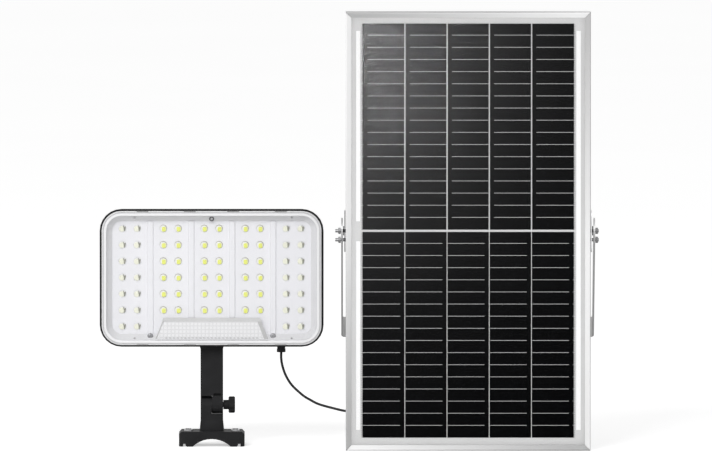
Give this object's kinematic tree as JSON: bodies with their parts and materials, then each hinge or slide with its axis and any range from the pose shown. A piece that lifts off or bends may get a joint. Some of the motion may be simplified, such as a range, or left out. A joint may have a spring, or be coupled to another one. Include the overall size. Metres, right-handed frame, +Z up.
{
  "type": "solar flood light",
  "caption": "LED flood lamp on a tilting arm and foot, joined by a cord to a framed solar panel that leans back in a U bracket.",
  "frame": {"origin": "middle of the footprint, on the surface that the foot and the panel's lower edge stand on", "axes": "+Z up, -Y towards the lit front, +X from the lamp to the panel"},
  "size_m": [0.444, 0.1066, 0.3905],
  "materials": {
    "black_plastic": "fine texture",
    "black_rubber": "satin",
    "clear_plastic": "clear",
    "white_plastic": "gloss",
    "white_silicone": "satin",
    "led_board": "satin",
    "plated_steel": "zinc plated",
    "anodised_aluminium": "satin anodised",
    "dark_plastic": "satin",
    "silicon": "dark, under glass",
    "tinned_ribbon": "tinned",
    "tempered_glass": "clear",
    "battery_wrap": "shrink wrap",
    "circuit_board": "solder mask"
  },
  "bodies": {
    "mounts": {"foot": "black_plastic", "clamp_nut": "plated_steel", "u_bracket": "plated_steel", "cable_lead": "black_rubber", "cable_coil": "black_rubber", "cable_riser": "black_rubber", "coil_tie": "dark_plastic"},
    "lamp": {"rear_housing": "black_plastic", "front_cover": "clear_plastic", "cover_seal": "white_silicone", "reflector_plate": "white_plastic", "led_board": "led_board", "sensor_window": "clear_plastic", "status_light": "clear_plastic", "reflector_screw_left": "plated_steel", "reflector_screw_right": "plated_steel", "battery_pack": "battery_wrap", "control_board": "circuit_board", "cable_gland": "black_rubber", "lamp_arm": "black_plastic", "arm_screw_left": "plated_steel", "arm_screw_right": "plated_steel"},
    "panel": {"backsheet": "white_plastic", "bus_ribbon_lower_left": "tinned_ribbon", "bus_ribbon_lower_right": "tinned_ribbon", "bus_ribbon_upper_left": "tinned_ribbon", "bus_ribbon_upper_right": "tinned_ribbon", "corner_key_lower_left": "dark_plastic", "corner_key_lower_right": "dark_plastic", "corner_key_upper_left": "dark_plastic", "corner_key_upper_right": "dark_plastic", "frame_rail_bottom": "anodised_aluminium", "frame_rail_left": "anodised_aluminium", "frame_rail_right": "anodised_aluminium", "frame_rail_top": "anodised_aluminium", "junction_box": "black_plastic", "junction_lid": "black_plastic", "lock_bolt_left": "plated_steel", "lock_bolt_right": "plated_steel", "panel_gland": "black_rubber", "panel_glass": "tempered_glass", "pivot_bolt_left": "plated_steel", "pivot_bolt_right": "plated_steel", "pivot_ear_left": "anodised_aluminium", "pivot_ear_right": "anodised_aluminium", "pivot_washer_left": "black_rubber", "pivot_washer_right": "black_rubber", "solar_cell_lower_1": "silicon", "solar_cell_lower_2": "silicon", "solar_cell_lower_3": "silicon", "solar_cell_lower_4": "silicon", "solar_cell_lower_5": "silicon", "solar_cell_upper_1": "silicon", "solar_cell_upper_2": "silicon", "solar_cell_upper_3": "silicon", "solar_cell_upper_4": "silicon", "solar_cell_upper_5": "silicon"},
    "knob": {"clamp_knob": "black_plastic"},
    "button": {"power_button": "black_rubber"}
  },
  "joints": [
    {"name": "lamp_tilt", "type": "hinge", "parent": "mounts", "child": "lamp", "pos_m": [-0.1223, 0.01067, 0.0363], "axis": [-1, 0, 0], "range_deg": [-90, 90], "deforming": ["cable_lead"]},
    {"name": "panel_tilt", "type": "hinge", "parent": "mounts", "child": "panel", "pos_m": [0.10588, -0.04143, 0.19525], "axis": [-1, 0, 0], "range_deg": [0, 60], "deforming": ["cable_riser"]},
    {"name": "knob_turn", "type": "hinge", "parent": "mounts", "child": "knob", "pos_m": [-0.1223, 0.01067, 0.0363], "axis": [1, 0, 0], "range_deg": [0, 540]},
    {"name": "button_press", "type": "slide", "parent": "lamp", "child": "button", "axis": [0, -1, 0], "range_m": [0, 0.0015], "stiffness_N_per_m": 1500, "springref_m": -0.001}
  ]
}
